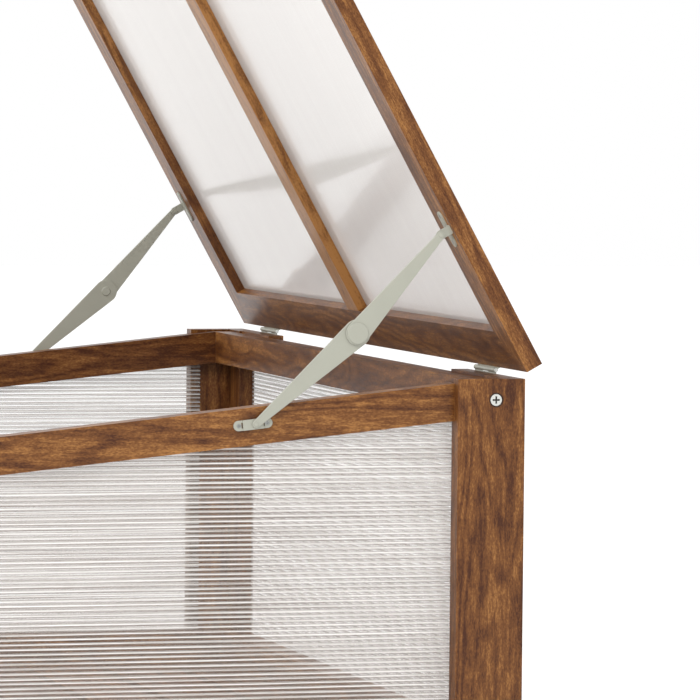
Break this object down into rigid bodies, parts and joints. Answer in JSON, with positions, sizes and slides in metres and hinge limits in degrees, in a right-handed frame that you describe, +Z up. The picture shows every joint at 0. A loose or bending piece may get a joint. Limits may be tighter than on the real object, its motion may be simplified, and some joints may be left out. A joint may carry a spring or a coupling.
{
  "type": "cold frame",
  "caption": "Low stained-timber cold frame with fluted translucent walls, slatted floor and a glazed lid hinged at the rear, held open by two folding stays.",
  "frame": {"origin": "on the ground, under the middle of the box at half its width and half its depth", "axes": "+Z up, +Y to the rear where the lid is hinged, +X to the right seen from the front"},
  "size_m": [1, 0.6655, 0.989],
  "materials": {
    "stained_wood": "walnut-brown stain under a satin varnish",
    "fluted_sheet": "clear twin-wall sheet, milky by its flutes",
    "painted_metal": "light grey-green paint, satin",
    "zinc_plated": "zinc plate"
  },
  "bodies": {
    "frame": {"post_rear_left": "stained_wood", "post_rear_right": "stained_wood", "post_front_left": "stained_wood", "post_front_right": "stained_wood", "top_rail_rear": "stained_wood", "top_rail_front": "stained_wood", "top_rail_left": "stained_wood", "top_rail_right": "stained_wood", "bottom_rail_rear": "stained_wood", "bottom_rail_front": "stained_wood", "bottom_rail_left": "stained_wood", "bottom_rail_right": "stained_wood", "panel_rear": "fluted_sheet", "panel_front": "fluted_sheet", "panel_left": "fluted_sheet", "panel_right": "fluted_sheet", "floor_bearer_left": "stained_wood", "floor_bearer_middle": "stained_wood", "floor_bearer_right": "stained_wood", "floor_slat_1": "stained_wood", "floor_slat_2": "stained_wood", "floor_slat_3": "stained_wood", "floor_slat_4": "stained_wood", "floor_slat_5": "stained_wood", "floor_slat_6": "stained_wood", "floor_slat_7": "stained_wood", "floor_slat_8": "stained_wood", "frame_screws": "zinc_plated", "hinge_lower_leaf_left": "painted_metal", "hinge_lower_leaf_right": "painted_metal", "hinge_pins": "zinc_plated", "hinge_lower_screws": "zinc_plated", "stay_rail_bracket_left": "painted_metal", "stay_rail_bracket_right": "painted_metal", "stay_rail_screws": "zinc_plated", "stay_rail_rivets": "painted_metal"},
    "lid": {"lid_rail_rear": "stained_wood", "lid_rail_front": "stained_wood", "lid_rail_left": "stained_wood", "lid_rail_right": "stained_wood", "lid_rail_middle": "stained_wood", "lid_panel_left": "fluted_sheet", "lid_panel_right": "fluted_sheet", "hinge_upper_leaf_left": "painted_metal", "hinge_upper_leaf_right": "painted_metal", "hinge_upper_screws": "zinc_plated", "stay_lid_bracket_left": "painted_metal", "stay_lid_bracket_right": "painted_metal", "stay_lid_screws": "zinc_plated", "stay_lid_rivets": "painted_metal"},
    "lower_arm_left": {"stay_lower_arm_left": "painted_metal", "stay_knuckle_tail_left": "painted_metal"},
    "lower_arm_right": {"stay_lower_arm_right": "painted_metal", "stay_knuckle_tail_right": "painted_metal"},
    "upper_arm_left": {"stay_upper_arm_left": "painted_metal", "stay_knuckle_button_left": "painted_metal"},
    "upper_arm_right": {"stay_upper_arm_right": "painted_metal", "stay_knuckle_button_right": "painted_metal"}
  },
  "joints": [
    {"name": "lid_hinge", "type": "hinge", "parent": "frame", "child": "lid", "pos_m": [0, 0.3245, 0.4033], "axis": [1, 0, 0], "range_deg": [0, 67.1]},
    {"name": "stay_lower_pivot_left", "type": "hinge", "parent": "frame", "child": "lower_arm_left", "pos_m": [-0.492, 0.0823, 0.3614], "axis": [1, 0, 0], "range_deg": [-91.78, 0]},
    {"name": "stay_upper_pivot_left", "type": "hinge", "parent": "lid", "child": "upper_arm_left", "pos_m": [-0.492, 0.24761, 0.52612], "axis": [1, 0, 0], "range_deg": [-37.61, 0]},
    {"name": "stay_lower_pivot_right", "type": "hinge", "parent": "frame", "child": "lower_arm_right", "pos_m": [0.492, 0.0823, 0.3614], "axis": [1, 0, 0], "range_deg": [-91.78, 0]},
    {"name": "stay_upper_pivot_right", "type": "hinge", "parent": "lid", "child": "upper_arm_right", "pos_m": [0.492, 0.24761, 0.52612], "axis": [1, 0, 0], "range_deg": [-37.61, 0]}
  ],
  "couplings": [
    {"joint": "stay_lower_pivot_left", "follows": "lid_hinge", "ratio": -1.367},
    {"joint": "stay_upper_pivot_left", "follows": "lid_hinge", "ratio": -0.55983},
    {"joint": "stay_lower_pivot_right", "follows": "lid_hinge", "ratio": -1.367},
    {"joint": "stay_upper_pivot_right", "follows": "lid_hinge", "ratio": -0.55983}
  ]
}
